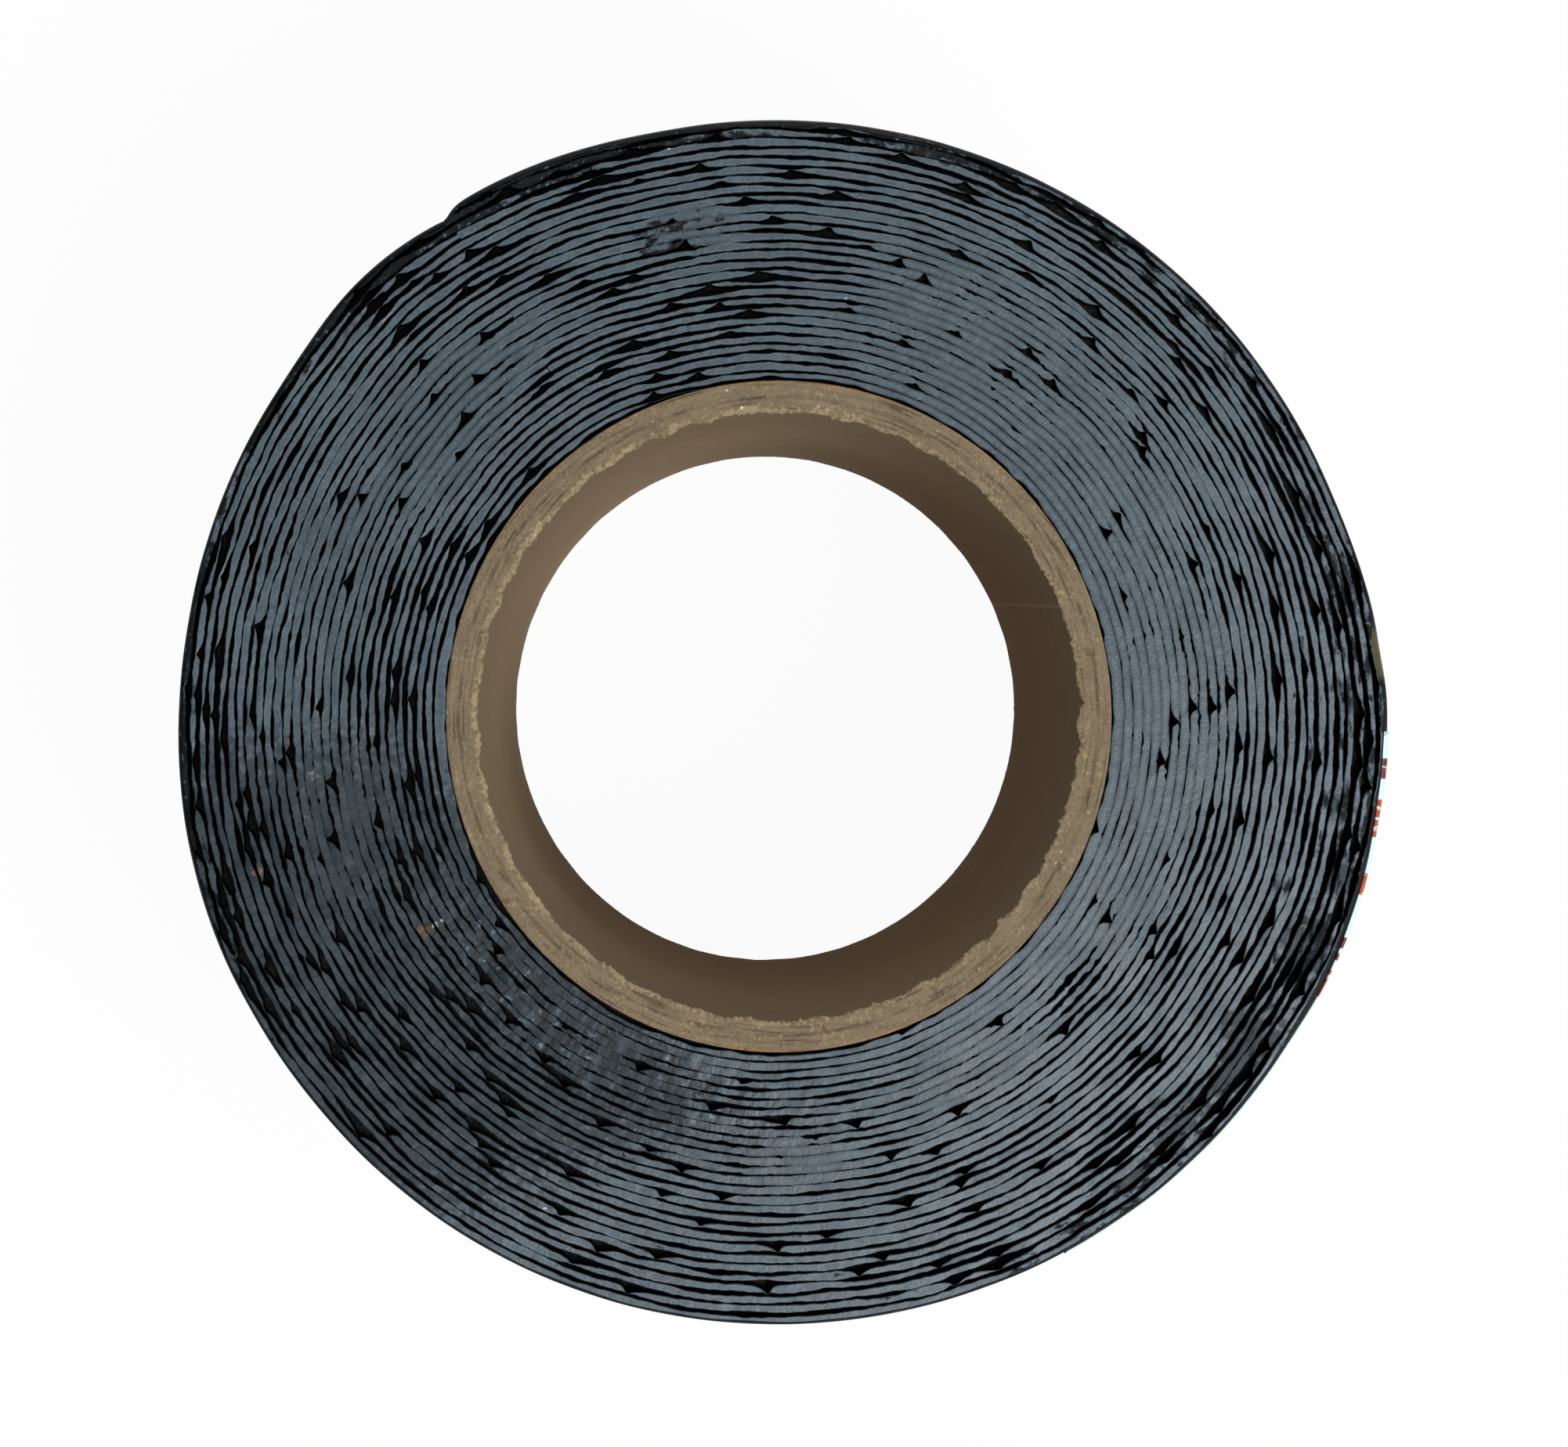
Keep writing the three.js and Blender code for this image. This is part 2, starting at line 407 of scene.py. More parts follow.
# The creases under each turn on the upper end, from the innermost turn outwards: angle in degrees,
# then reach in millimetres.
upper_creases = [
    {209: 1.1, 291: 0.8, 340: 0.8, 111: 0.9},
    {135: 1.1, 146: 1.8, 153: 1.2, 216: 1.0, 103: 1.3},
    {68: 0.8, 110: 0.8},
    {152: 1.1, 163: 0.8, 177: 0.8, 189: 0.9, 201: 1.7, 220: 0.8, 264: 0.8, 330: 0.9, 19: 0.9},
    {161: 1.0, 190: 1.5, 235: 1.2, 248: 0.9, 306: 0.9, 29: 0.8, 107: 0.9, 117: 1.7},
    {173: 1.3, 178: 1.9, 200: 1.4, 328: 1.1, 353: 0.9, 97: 1.5},
    {154: 1.2, 222: 1.0, 260: 1.0, 317: 1.8, 359: 0.8, 31: 1.0, 72: 1.1, 111: 1.4},
    {126: 1.1, 163: 0.8, 184: 0.9, 201: 0.9, 228: 1.1, 271: 1.8, 94: 1.2},
    {141: 0.9, 195: 1.7, 206: 1.2, 236: 1.7, 281: 0.9, 340: 0.8, 1: 1.0, 56: 0.9, 80: 1.1, 98: 1.3},
    {223: 1.7, 240: 1.9, 275: 0.9, 312: 1.2, 65: 0.9, 105: 1.6},
    {136: 1.0, 150: 0.9, 175: 0.9, 220: 0.8, 294: 1.1, 330: 0.8, 1: 0.8, 51: 1.1, 99: 1.7},
    {218: 1.1, 246: 1.4, 327: 0.9, 348: 1.2, 20: 1.0, 56: 1.1, 93: 1.8},
    {132: 0.7, 146: 1.1, 163: 1.2, 188: 1.1, 227: 0.9, 253: 1.2, 284: 0.8, 3: 1.1, 36: 1.2,
     111: 1.9},
    {179: 0.9, 195: 1.0, 231: 1.2, 258: 1.1, 290: 1.1, 329: 1.1, 356: 1.1, 38: 0.7, 72: 1.0,
     108: 1.7},
    {137: 0.7, 152: 1.0, 234: 1.8, 305: 1.0, 347: 1.4, 24: 1.4, 75: 0.8, 114: 1.2},
    {128: 1.0, 197: 1.0, 218: 1.1, 236: 0.8, 263: 1.1, 338: 1.6, 17: 1.1, 43: 1.1, 79: 1.5,
     101: 1.2},
    {153: 1.4, 184: 1.2, 207: 1.4, 229: 0.7, 256: 0.8, 292: 1.0, 317: 1.2, 355: 0.9, 50: 1.2,
     84: 1.3, 118: 1.2},
    {135: 1.0, 185: 1.0, 221: 1.3, 245: 1.7, 285: 1.5, 291: 0.8, 333: 1.1, 4: 1.6, 39: 0.7, 69: 1.3,
     91: 1.4},
    {196: 1.9, 215: 0.7, 228: 1.3, 233: 1.4, 261: 1.2, 318: 1.2, 12: 1.7, 61: 1.5, 102: 0.8,
     122: 1.4},
    {182: 0.8, 209: 1.4, 213: 1.1, 235: 0.9, 275: 1.0, 300: 1.1, 332: 1.6, 18: 1.9, 52: 0.9,
     94: 1.8},
    {126: 1.5, 134: 1.7, 170: 1.7, 180: 1.5, 192: 0.8, 202: 0.9, 207: 1.6, 237: 1.5, 270: 1.1,
     292: 1.1, 337: 1.9, 5: 1.8, 36: 1.3, 84: 1.7},
    {134: 2.1, 188: 1.5, 192: 2.5, 198: 0.8, 217: 1.4, 246: 1.3, 311: 2.5, 355: 1.1, 42: 1.1,
     62: 1.4, 96: 1.6, 121: 1.7},
    {189: 0.9, 194: 1.5, 217: 2.2, 257: 1.8, 281: 0.8, 305: 2.1, 329: 1.8, 11: 1.6, 43: 0.7,
     89: 1.7},
    {124: 2.0, 128: 0.7, 162: 1.1, 183: 2.1, 217: 1.9, 251: 1.2, 278: 1.1, 307: 1.3, 331: 0.9,
     39: 1.8, 70: 1.3, 98: 1.4, 105: 0.8, 111: 1.2},
    {130: 0.7, 134: 0.8, 173: 2.1, 180: 0.8, 206: 2.4, 211: 0.9, 227: 1.5, 269: 1.4, 286: 1.4,
     318: 3.2, 333: 1.5, 346: 3.4, 9: 1.0, 17: 3.3, 23: 1.9, 45: 1.6, 71: 1.1, 108: 2.1},
    {131: 1.2, 135: 3.0, 166: 1.5, 179: 1.4, 196: 3.3, 200: 1.5, 249: 2.2, 292: 1.0, 302: 3.4,
     311: 2.6, 328: 2.4, 333: 0.8, 348: 1.6, 355: 2.6, 0: 2.6, 30: 3.3, 56: 1.3, 78: 1.9, 109: 1.7},
    {134: 2.7, 162: 1.9, 168: 0.8, 174: 1.0, 178: 1.3, 184: 2.7, 189: 1.7, 198: 1.5, 204: 2.1,
     210: 2.4, 225: 2.5, 255: 1.9, 287: 2.6, 292: 2.5, 311: 2.4, 318: 1.9, 323: 3.4, 326: 1.0,
     332: 1.0, 340: 3.1, 347: 1.3, 353: 1.0, 358: 2.1, 35: 0.7, 62: 2.3, 66: 1.1, 83: 1.3, 96: 0.9,
     105: 1.5, 112: 2.8, 117: 3.4},
    {127: 0.9, 135: 1.2, 148: 2.4, 177: 1.8, 193: 0.8, 201: 2.7, 206: 0.9, 316: 1.2, 344: 0.8,
     3: 0.8, 14: 1.6, 52: 1.4, 57: 1.9, 119: 3.2},
]

# Patches of the upper end: angle, radius, half length round the roll, half width across the turns
# and strength. In a dragged patch the knife has closed the gaps, and in an open one they are
# wider. A scuffed patch shows the chatter of the knife, a rough dark one has rougher turns and
# a darker colour, and a smeared one is black with soft bitumen.
dragged = [
    (0, 46, 32, 6, 0.48), (62, 54, 11, 7, 0.48), (69, 57, 8, 6, 0.45), (133.6, 56.4, 9, 5, 0.55),
    (192.5, 57, 10, 7, 0.6), (271.5, 55.6, 8, 4, 0.5), (100.6, 61.6, 5, 3, 0.5),
    (4, 54, 11, 3, 0.4), (-60, 51, 9, 5, 0.4), (40, 54.5, 14, 6, 0.34), (165, 62.7, 14, 6, 0.2),
    (144, 51, 8, 4, 0.28), (142, 56, 11, 4, 0.42), (150, 57.6, 12, 6, 0.1), (46, 46, 26, 7, 0.36),
    (-28, 49, 16, 5, 0.36), (268, 46, 24, 4, 0.06), (226, 49, 26, 7, 0.26),
    (112, 74.9, 15, 1.0, 0.7), (-24, 72.5, 3.4, 3.4, 0.1), (-18.8, 66.8, 1.6, 1.4, 0.16),
]
opened = [
    (150, 46, 45, 6, 0.18), (92, 50, 18, 6, 0.08), (188, 49, 22, 6, 0.14), (240, 54, 18, 7, 0.03),
    (0, 71, 45, 5, 0.08), (182, 71, 30, 5, 0.06), (318, 71, 30, 4, 0.06), (105, 57, 32, 8, 0.04),
    (345, 54, 14, 6, 0.08), (212, 54, 18, 10, 0.12), (0, 69, 12, 3, 0.14), (302, 68.5, 14, 3, 0.12),
    (345, 68.5, 10, 3, 0.08), (163, 65, 15, 7, 0.11), (78, 46, 13, 3, 0.12), (270, 48, 13, 5, 0.12),
    (144, 50, 15, 3, 0.1), (-42, 49.6, 8, 1.8, 0.34), (-48, 51.8, 6, 1.2, 0.2),
    (-35, 55, 9, 3, 0.1), (10, 51, 5, 1.2, 0.12),
]
scuffed = [
    (228, 47, 25, 7, 1.0), (248, 49, 18, 6, 0.6), (264, 51, 14, 4.4, 0.4),
]
rough_dark_patches = [
    (212, 56, 20, 26, 1.0), (236, 50, 18, 10, 0.88), (203, 70, 24, 9, 0.9), (254, 51, 14, 8, 0.1),
    (188, 52, 22, 10, 0.3), (230, 68, 28, 12, 0.3), (-9, 72, 3, 2.2, 0.6),
    (-16, 73.6, 2.6, 1.7, 0.7), (-24, 72.5, 3.6, 3.4, 0.7), (-18.8, 66.8, 1.8, 1.4, 0.55),
    (21.5, 71.5, 3.2, 2.4, 0.6), (12.3, 73.6, 5, 1.8, 0.6), (2.2, 71.8, 3.6, 1.6, 0.55),
    (-30, 73, 22, 3.2, 0.25), (-48, 73.5, 20, 2.6, 0.2), (-34, 69.4, 2.6, 2.2, 0.6),
    (-37.5, 72, 5, 1.8, 0.7), (-33.3, 74.8, 2.5, 0.8, 0.5), (-46, 68.1, 2, 1.2, 0.6),
    (-46, 72, 4, 1.3, 0.6), (-52, 73.3, 4, 0.8, 0.6), (137, 72.5, 8, 2.6, 0.4),
]
smeared = [
    (-22, 73, 26, 4, 0.27), (-48, 73.5, 24, 3.4, 0.2), (12, 72, 14, 3, 0.42),
    (45, 74, 30, 2.4, 0.5), (74, 74, 20, 2.6, 0.48), (0, 75.5, 30, 1.6, 0.4), (103, 62, 5, 3, 0.6),
    (98, 75.6, 24, 1.5, 1.3), (113, 75.3, 18, 1.9, 2.6), (133, 75.4, 10, 1.5, 0.9),
    (146, 74.8, 12, 1.6, 0.7), (96.6, 74.4, 5, 1.1, 0.75), (180, 75.2, 34, 1.6, 0.85),
    (300, 75, 30, 1.6, 0.25), (262, 59, 12, 6, 0.1), (-8, 68, 14, 3, 0.25),
    (-18.8, 66.8, 1.9, 1.3, 0.4), (-9, 72, 3, 2, 0.3), (-24, 72.5, 3.6, 3, 0.25),
    (2.2, 71.8, 3.4, 1.6, 0.3),
]

# Patches where the outermost turn's edge is pressed over further, where the line between two turns
# is pushed inwards, and where the gap beside the core is wider or narrower.
pressed = [
    (92, 75, 42, 9, 0.5), (-20, 75, 15, 9, 0.72), (-7, 75, 9, 9, 0.36), (6, 75, 3.8, 9, 0.85),
]
pushed = [
    (6.5, 74.2, 5, 1.4, 0.5),
]
beside_core = [
    (108, 42, 30, 9, 0.35), (212, 42, 7, 9, 0.5), (242, 42, 11, 9, 0.4), (275, 42, 16, 9, 0.25),
    (148, 42, 10, 9, 0.3), (182, 42, 10, 9, -0.12), (45, 42, 8, 9, 0.12),
]


def turn_angle(turn):
    """Angle of a place that lies so many turns from the strip's inner end."""
    return math.radians(strip_end_angle) + 2 * np.pi * turn


def turn_radius(turn):
    """Radius of the line under the strip at that place."""
    turn = np.asarray(turn, float)
    whole = np.floor(turn)
    climbed = even_steps(1 - climb_share, 1, turn - whole)
    degrees = strip_end_angle + 360 * turn
    swell = np.zeros_like(turn)
    for middle, reach, height in swellings:
        away = np.abs((degrees - middle + 180) % 360 - 180)
        swell += height * (1 + np.cos(np.pi * np.minimum(away / reach, 1))) / 2
    return felt_bore_radius + strip_pitch * (whole + climbed) + swell * (turn / turns) ** 2


# Places along the strip, in turns, and the length of strip up to each of them.
steps_per_turn = 300
ruler = np.linspace(-1, turns + 1, steps_per_turn * (turns + 2) + 1)
ruler_radius = turn_radius(ruler)
ruler_length = np.concatenate([[0], np.cumsum(
    np.diff(ruler) * np.pi * (ruler_radius[1:] + ruler_radius[:-1]))])


def field(places, angle, radius):
    """The sum of soft patches at the given places of the roll's end."""
    total = np.zeros_like(radius)
    for middle, middle_radius, along, across, strength in places:
        away = (angle - math.radians(middle) + np.pi) % (2 * np.pi) - np.pi
        reach = (away * middle_radius / along) ** 2 + ((radius - middle_radius) / across) ** 2
        total += strength * np.exp(-reach)
    return total


def mottle(angle, radius, grain, seed):
    """Smooth noise from -1 to 1 over the roll's end, with grains of the given size."""
    half = 90  # the noise covers this far to each side of the axis
    cells = int(2 * half / grain) + 3
    lattice = np.random.default_rng(seed).uniform(-1, 1, (cells, cells))
    across = (half + radius * np.cos(angle)) / grain
    up = (half + radius * np.sin(angle)) / grain
    column, row = across.astype(int), up.astype(int)
    across, up = even_steps(0, 1, across - column), even_steps(0, 1, up - row)
    near = lattice[row, column] * (1 - across) + lattice[row, column + 1] * across
    far = lattice[row + 1, column] * (1 - across) + lattice[row + 1, column + 1] * across
    return near * (1 - up) + far * up


def listed_creases(table):
    """The creases of a table in order: place along the strip, reach before and after it, depth."""
    random = np.random.default_rng(5)
    found = []
    for turn, row in enumerate(table):
        for degrees, reach in row.items():
            place = turn + (degrees - strip_end_angle) % 360 / 360
            near, far = 0.5 + 0.55 * reach, 0.9 + 1.3 * reach
            sides = (near, far) if random.random() < 0.6 else (far, near)
            depth = random.choice([1, 1, 1, 0.8, 0.6])
            found.append((np.interp(place, ruler, ruler_length), *sides, depth))
    return np.array(sorted(found))


def scattered_creases(seed):
    """Creases at chance places, about 4 cm apart, for the end that the roll stands on."""
    random = np.random.default_rng(seed)
    count = 250
    places = np.cumsum(random.normal(39, 3.4, count)) + ruler_length[steps_per_turn]
    near, far = random.uniform(0.8, 1.6, count), random.uniform(1.5, 3, count)
    return np.stack([places, near, far, random.choice([1, 1, 0.7], count)], axis=1)


def creased_shape(along, creases):
    """What a crease takes from the strip, from 0 to 1, the bulge of the gap beside it, and how
    far away it is."""
    after = np.clip(np.searchsorted(creases[:, 0], along), 1, len(creases) - 1)
    nearer = np.abs(along - creases[after - 1, 0]) < np.abs(along - creases[after, 0])
    crease = creases[np.where(nearer, after - 1, after)]
    offset = along - crease[:, 0]
    reach = np.where(offset < 0, crease[:, 1], crease[:, 2])
    share = np.clip(1 - np.abs(offset) / reach, 0, 1)
    blunt = reach < np.maximum(crease[:, 1], crease[:, 2]) - 1e-6
    lost = np.where(blunt, 1 - np.sqrt(1 - share ** 2), 0.3 * share + 0.7 * share ** 2.2)
    bulge = np.clip(1 - np.abs(offset) / (2.0 * reach + 0.8), 0, 1) ** 1.5
    return np.minimum(lost * 1.3, 1) * crease[:, 3], bulge * crease[:, 3], np.abs(offset)


def line_radius(turn, seed):
    """The line between two turns as it really runs."""
    along = np.interp(turn, ruler, ruler_length)
    angle, radius = turn_angle(turn), turn_radius(turn)
    ripple = np.zeros_like(turn)
    ripples = ((13, 0.05), (19, 0.04), (31, 0.025), (47, 0.015), (83, 0.01))  # per turn, and mm
    for i, (count, size) in enumerate(ripples):
        ripple += np.cos(2 * np.pi * (count + 0.013 * i) * turn + 2.1 * i) * size
    rough = np.clip(field(rough_dark_patches, angle, radius), 0, 1.2)
    wobble = (0.08 + 0.1 * turn / turns) * waver(along, 5.6, seed)
    wobble = wobble + 0.06 * waver(along, 2.3, seed + 1) + 0.02 * waver(along, 0.9, seed + 2)
    wobble = wobble + 0.07 * rough * waver(along, 1.5, seed + 4) - field(pushed, angle, radius)
    return radius + even_steps(0.5, 2.5, turn) * (ripple + wobble)


def core_gap(turn):
    """The inner side of the first turn, which stands slightly off the core."""
    angle = turn_angle(turn)
    lumps = 0.09 * ring_waver(angle, 30, 91) + 0.06 * ring_waver(angle, 80, 92)
    width = 0.14 + field(beside_core, angle, np.full_like(turn, 42.0)) + lumps
    return core_radius - core_squash * np.cos(2 * angle) + np.clip(width, 0.04, None)


def gap_width(turn, seed):
    """Open width of the gap on the line under the strip, in millimetres."""
    along = np.interp(turn, ruler, ruler_length)
    angle, radius = turn_angle(turn), turn_radius(turn)
    base = 0.21 + 0.11 * even_steps(44, 54, radius) + 0.07 * even_steps(turns - 7, turns - 2, turn)
    base = base + field(opened, angle, radius)
    uneven = (0.4 * waver(along, 3.7, seed) + 0.22 * waver(along, 1.2, seed + 1)
              + 0.2 * waver(along, 9, seed + 6) + 0.28 * waver(along, 0.6, seed + 8))
    base = base + np.minimum(base, 0.42) * uneven
    breaks = (0.45 * waver(along, 2.4, seed + 3) + 0.55 * waver(along, 0.8, seed + 5)
              + 0.42 * waver(along, 0.5, seed + 9))
    uneven_drag = 1 + 0.5 * mottle(angle, radius, 3.0, seed + 2) + breaks
    return np.clip(base - field(dragged, angle, radius) * uneven_drag, 0, 0.85)


def outside(turn, inwards=0.0):
    """Radius of the outside. On a cut end, where inwards is 0, the strip's end is pressed down."""
    before = np.maximum((turn - turns) * outer_turn_length, 0)
    after = np.maximum((turns + 1 - turn) * outer_turn_length, 0)
    slope = -0.2 * np.exp(-before / 1.5) - 0.5 * np.exp(-after / 4)
    slope = slope - 0.87 * np.exp(-(after / 1.5) ** 1.5)
    return turn_radius(turn) + slope * (1 - inwards)


def rim(turn, bend):
    """Radius and depth of the pressed-over edge of the outermost turn, from a bend of 0 on the
    cut end to a quarter turn on the outside."""
    angle = turn_angle(turn)
    reach = 0.32 + field(pressed, angle, np.full_like(turn, 75.0))
    reach = reach + 0.06 * ring_waver(angle, 30, 31)
    sunk = np.maximum(0.1 + 0.05 * ring_waver(angle, 22, 33), 0.02)
    radius = outside(turn) - reach * (1 - np.sin(bend))
    return radius, sunk + 1.3 * reach * (1 - np.cos(bend))


def strip_columns(first, last, creases, coarse, fine):
    """Lengths along the strip at which its mesh has columns. They are fine at the creases and
    where the gaps are dragged shut, and coarse elsewhere."""
    sampled = 0.05
    along = np.arange(*np.interp([first, last], ruler, ruler_length), sampled)
    turn = np.interp(along, ruler_length, ruler)
    busy = field(dragged, turn_angle(turn), turn_radius(turn))
    calm = even_steps(2.2, 4.5, creased_shape(along, creases)[2]) * even_steps(0.35, 0.1, busy)
    count = np.concatenate([[0], np.cumsum(sampled / (fine + (coarse - fine) * calm[1:]))])
    return np.interp(np.linspace(0, count[-1], int(count[-1]) + 1), count, along)


def turn_strip(name, first, last, creases, coarse, fine, facing, material, seed):
    """The turns from first to last at one end: facing is 1 for the upper end, -1 for the lower.
    coarse and fine are the widest and narrowest columns of its mesh, in millimetres."""
    along = strip_columns(first, last, creases, coarse, fine)
    turn = np.interp(along, ruler_length, ruler)
    angle = turn_angle(turn)

    # The two sides of the turn: half a gap off the lines beside it, and less where it is creased.
    lost, bulge, _ = creased_shape(along, creases)
    bulge_above = creased_shape(np.interp(turn + 1, ruler, ruler_length), creases)[1]
    under, over = gap_width(turn, seed + 7), gap_width(turn + 1, seed + 7)
    inner = line_radius(turn, seed) + under / 2
    lifted = even_steps(0.9, 1, turn)
    on_core = core_gap(turn) + strip_pitch * even_steps(1 - climb_share, 1, turn)
    inner = np.where(turn < 1, on_core * (1 - lifted) + inner * lifted, inner)
    outer = line_radius(turn + 1, seed) - over / 2
    outer = np.where(turn > turns - 1, rim(turn + 1, 0)[0] - 0.02, outer)
    inner = inner + 0.18 * bulge * even_steps(0.05, 0.25, under)
    outer = outer - 0.24 * bulge_above - 0.08 * bulge * even_steps(0.05, 0.25, over)
    whole = np.maximum(outer - inner, 0.03)
    inner = inner + whole * np.minimum(0.72 * lost + 0.28 * lost ** 4, 0.98)
    outer = outer - whole * 0.27 * lost * (1 - lost ** 4)
    inner = np.minimum(inner, outer - 0.015)
    middle = (inner + outer) / 2

    # The land between them: how far it lies below the cut, its tilt and its soft edges.
    smear = np.clip(field(smeared, angle, middle), 0, 1.3)
    scuff = np.clip(field(scuffed, angle, middle), 0, 1)
    grime = np.clip(field(rough_dark_patches, angle, middle), 0, 1.2)
    level = 0.08 + 0.04 * mottle(angle, middle, 7.0, seed + 23) + 0.1 * smear + 0.05 * scuff
    level = level + 0.15 * even_steps(0.82, 1, lost)
    level = level + 0.035 * (0.5 + grime) * waver(along, 1.3, seed + 31)
    tilt = 0.03 * (0.6 + grime) * waver(along, 2.6, seed + 32)
    soft = (0.12 + 0.03 * waver(along, 2, seed + 30)) * np.minimum(1, (outer - inner) / 0.4)
    open_in = even_steps(0.03, 0.22, under + 0.3 * lost)
    open_out = even_steps(0.03, 0.22, over)
    soft_in, soft_out = soft * (0.5 + 0.5 * open_in), soft * (0.5 + 0.5 * open_out)

    # Seven rows close the section. Its ends are pinched to a point, which closes the mesh.
    radius = np.stack([inner, inner, inner + soft_in, outer - soft_out, outer, outer, inner])
    foot = np.full_like(turn, turn_depth)
    below = np.stack([foot, soft_in, tilt, -tilt, soft_out, foot, foot])
    radius[:, [0, -1]] = middle[[0, -1]]
    below[:, [0, -1]] = 1.0
    below_cut = np.maximum(below + level, 0.01)
    piece = skin(
        name,
        radius,
        angle,
        roll_width - below_cut if facing > 0 else below_cut,
        material,
        sharp=30,
        depth=below,
        along=along,
        seam=1 - np.stack([open_in] * 3 + [open_out] * 3 + [open_in]),
        side=np.array([-1, -1, -1, 1, 1, 1, -1])[:, None],
        smear=smear,
        scuff=scuff,
        grime=grime,
    )
    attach(piece, "root")
    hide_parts("felt_roll")


def felt_material():
    material, start, place = material_wires("cut_felt")
    depth, along, seam, side, smear, scuff, grime = (start.note(name) for name in (
        "depth", "along", "seam", "side", "smear", "scuff", "grime"))
    east, north, across = place.axis(0), place.axis(1), place.off_axis()
    fine, coarse = place.noise(3000, 3, 0.6), place.noise(900, 4, 0.6)
    # The lands are slate grey: partly the cut bitumen's own colour, partly a painted reflection,
    # the sheen of black bitumen painted in.
    face = place.noise(75).step(0.3, 0.7).between(srgb(59, 73, 82), srgb(66, 81, 90))
    face = face.darkened(1.5 * fine + 1.1 * coarse - 0.3)

    # Where two turns touch, a darker band is left between them. Along an open gap the edge of the
    # turn is painted lighter: a painted highlight where the rounded edge catches the light.
    edge = start.maths("ABSOLUTE", side)
    band = edge.step(0.1, 1.0) * seam * (0.25 + 0.95 * place.noise(130, 2))
    face = face.blended(srgb(19, 37, 48), band)
    edge_highlight = edge.step(0.66, 1.0) * (1 - seam) * depth.step(0.075, 0.03)
    face = face.blended(srgb(112, 130, 138), edge_highlight * 0.3)
    # Darker down the rounded edge: painted shade, and where the turns touch also their dark joint.
    shoulder_joint_and_shade = depth.step(0.0, 0.05) * (0.22 + 0.15 * seam)
    face = face.blended(srgb(22, 28, 33), shoulder_joint_and_shade)
    pits = place.noise(1700, 2).step(0.29, 0.24)
    face = face.blended(srgb(14, 17, 20), pits * 0.8)

    # The rough dark patches are darker in colour.
    dark_patch = (grime * 1.25 + (coarse - 0.5) * 3.6 * grime).step(0.3, 0.7)
    face = face.blended(srgb(9, 29, 37), dark_patch * 0.58 + dark_patch * fine * 0.5)
    streaks = start.vector(along * 0.0004, across).noise(560, 4, 0.65)
    blotch = (smear + (streaks - 0.5) * 2.4).step(0.4, 0.62)
    blotch = blotch * (1 - 0.8 * place.noise(820, 3, 0.6).step(0.61, 0.67))

    # Chatter of the knife: short strokes across the turns, raised in the relief. Their colour is
    # painted light and shade: the raised strokes are painted lighter and the low ones darker.
    strokes = start.vector(east * 0.87 - north * 0.5, (east * 0.5 + north * 0.87) * 0.3)
    strokes = strokes.noise(780, 3, 0.55)
    face = face.blended(srgb(92, 110, 122), scuff * strokes.step(0.54, 0.66) * 0.24)
    face = face.blended(srgb(6, 20, 28), scuff * strokes.step(0.54, 0.42) * 0.8)
    glint = (scuff * scuff + 0.04) * place.noise(640, 4, 0.62).step(0.6, 0.68)
    face = face.blended(srgb(124, 143, 156), glint * 0.6)

    # Crumbs of core board and grit that are pressed into the cut, and painted glints: the pale
    # blue-grey spots are painted highlights.
    face = spotted(face, place, coarse * 3 - 1.5, [
        (-45.3, -27.1, 0.62, (94, 66, 44)), (-44.7, -26.9, 0.68, (90, 64, 44)),
        (-43.5, -26.7, 0.5, (64, 56, 40)), (-42.4, -25.4, 0.3, (150, 160, 164)),
        (-43.3, -26.0, 0.22, (136, 142, 142)), (-39.8, -31.4, 0.28, (140, 150, 158)),
        (-65.3, -19.3, 0.6, (92, 74, 54)), (-29.2, -61.7, 0.35, (168, 170, 166)),
        (8.3, 52.6, 0.3, (160, 166, 168)), (-13.9, 72.0, 0.45, (196, 196, 184)),
        (39.5, -27.1, 0.3, (150, 162, 170)),
    ])
    run = start.vector(along * mm, across * 0.3)
    ripples, beads = run.noise(430, 2), run.noise(1500, 1)
    # The beads are painted lighter and darker as well as raised: painted light and shade.
    face = face.darkened(1 + (beads - 0.5) * (0.3 + grime * 0.9 + scuff * 0.5))
    roughness = 0.41 + 0.2 * dark_patch + 0.1 * (coarse - 0.5)
    relief = fine * 0.3 + coarse * 0.35 + scuff * strokes * 1.3 + ripples * (0.3 + 1.6 * grime)
    relief = relief + beads * (0.1 + 0.5 * grime + 0.4 * scuff) + blotch * coarse * 1.6
    stained = (blotch * 0.96).larger(dark_patch * 0.08 + scuff * 0.12)
    # Below the land the turns' sides are matt black: their own black, and deeper down painted shade
    # of the gap.
    finish(start, face, roughness, relief, black=depth.step(0.08, 0.3).larger(stained))
    return material


cut_felt = felt_material()
creased = listed_creases(upper_creases)
inner_start = -0.075  # in turns: the mesh starts where the first turn climbs off the core
outer_stop = turns - 0.001  # and stops just short of the strip's end
for name, first, last in (("felt_turns_a", inner_start, 8), ("felt_turns_b", 7.998, 15),
                          ("felt_turns_c", 14.998, 21), ("felt_turns_d", 20.998, 25),
                          ("felt_turns_e", 24.998, outer_stop)):
    turn_strip(name, first, last, creased,
               coarse=0.4, fine=0.18, facing=1, material=cut_felt, seed=101)
turn_strip("felt_turns_foot", inner_start, outer_stop, scattered_creases(12),
           coarse=1.1, fine=0.4, facing=-1, material=cut_felt, seed=202)


# The rest of the roll: the wall of wound turns behind the two ends, and the outermost turn, whose
# soft edges are pressed over at both ends. A black film covers the outside, slightly wrinkled.
body_columns = 1400
recess = 3.0  # how far below each cut the wall of wound turns lies
rim_height = 3  # the rims bend over within this distance of the cut ends
pressed_height = 12  # and the strip's end is pressed down within this one
rim_rings = 8
wall_rings = 14

# A strip of khaki tape runs down the outside: the angles at which it starts, is full, fades and
# ends.
tape_starts, tape_full, tape_fades, tape_ends = 3.3, 4, 7.9, 8.8


